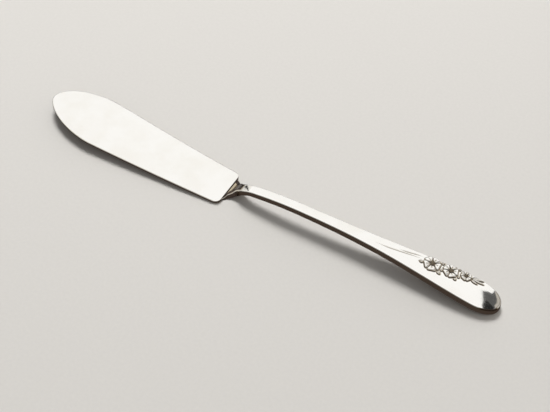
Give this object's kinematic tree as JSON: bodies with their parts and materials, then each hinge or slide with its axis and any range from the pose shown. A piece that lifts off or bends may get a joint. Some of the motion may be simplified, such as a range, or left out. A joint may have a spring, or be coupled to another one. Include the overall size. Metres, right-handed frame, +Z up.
{
  "type": "butter knife",
  "caption": "Flat-handled master butter knife with a broad round-tipped blade, cranked neck and slim arched handle with floral relief, for serving and spreading butter.",
  "frame": {"origin": "on the table plane, under the middle of the knife's outline seen from above", "axes": "+Z up from the table, +X along the knife toward the handle's end, +Y toward the cutting edge"},
  "size_m": [0.18, 0.0218, 0.008],
  "materials": {
    "silver_plate": "mirror-polished silver plate over nickel silver",
    "oxidised_silver": "silver plate darkened in the hollows of the relief"
  },
  "bodies": {
    "root": {"blade": "silver_plate", "neck": "silver_plate", "handle": "silver_plate", "stem_thread": "silver_plate", "blossoms": "silver_plate", "blossom_centres": "oxidised_silver", "leaves": "silver_plate", "end_leaf_spray": "silver_plate"}
  },
  "joints": []
}
